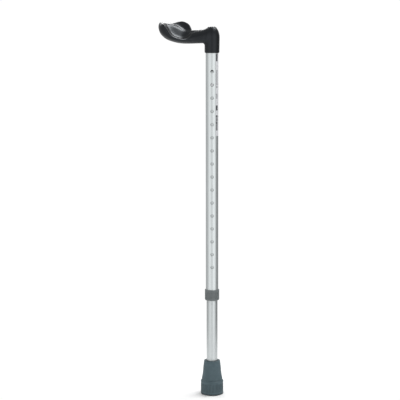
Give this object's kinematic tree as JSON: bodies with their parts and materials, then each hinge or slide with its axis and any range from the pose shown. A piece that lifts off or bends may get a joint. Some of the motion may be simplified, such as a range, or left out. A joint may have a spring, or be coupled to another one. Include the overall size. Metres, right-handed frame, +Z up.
{
  "type": "walking stick",
  "caption": "Height-adjustable aluminium walking stick with a contoured palm handle, telescopic tube with sprung button, grey collar and rubber tip.",
  "frame": {"origin": "centre of the rubber tip's foot, on the floor", "axes": "+Z up along the stick's axis, the grip points to -X, the adjustment holes and button are on the -Y side"},
  "size_m": [0.1278, 0.0566, 0.7494],
  "materials": {
    "grip_plastic": "black moulded plastic with a soft gloss",
    "cap_plastic": "dark grey moulded plastic plug",
    "screw_steel": "zinc-plated steel",
    "plug_nylon": "natural nylon",
    "upper_tube_aluminium": "satin anodised, fine lengthwise drawing lines",
    "lower_tube_aluminium": "satin anodised, fine lengthwise drawing lines",
    "label_film": null,
    "collar_plastic": "mid grey moulded plastic with ring grooves",
    "spring_steel": "spring steel strip",
    "button_steel": "plated steel",
    "tip_rubber": "dull blue-grey moulded rubber"
  },
  "bodies": {
    "lower": {"lower_tube": "lower_tube_aluminium", "button_spring": "spring_steel", "rubber_tip": "tip_rubber", "tip_washer": "screw_steel"},
    "upper": {"handle": "grip_plastic", "handle_cap": "cap_plastic", "handle_screw": "screw_steel", "handle_washer": "screw_steel", "tube_plug": "plug_nylon", "upper_tube": "upper_tube_aluminium", "label": "label_film", "collar": "collar_plastic"},
    "button": {"snap_button": "button_steel"}
  },
  "joints": [
    {"name": "height_slide", "type": "slide", "parent": "lower", "child": "upper", "axis": [0, 0, 1], "range_m": [-0.026, 0.286]},
    {"name": "button_press", "type": "slide", "parent": "lower", "child": "button", "axis": [0, 1, 0], "range_m": [0, 0.004], "stiffness_N_per_m": 1500, "springref_m": -0.003, "deforming": ["button_spring"]}
  ]
}
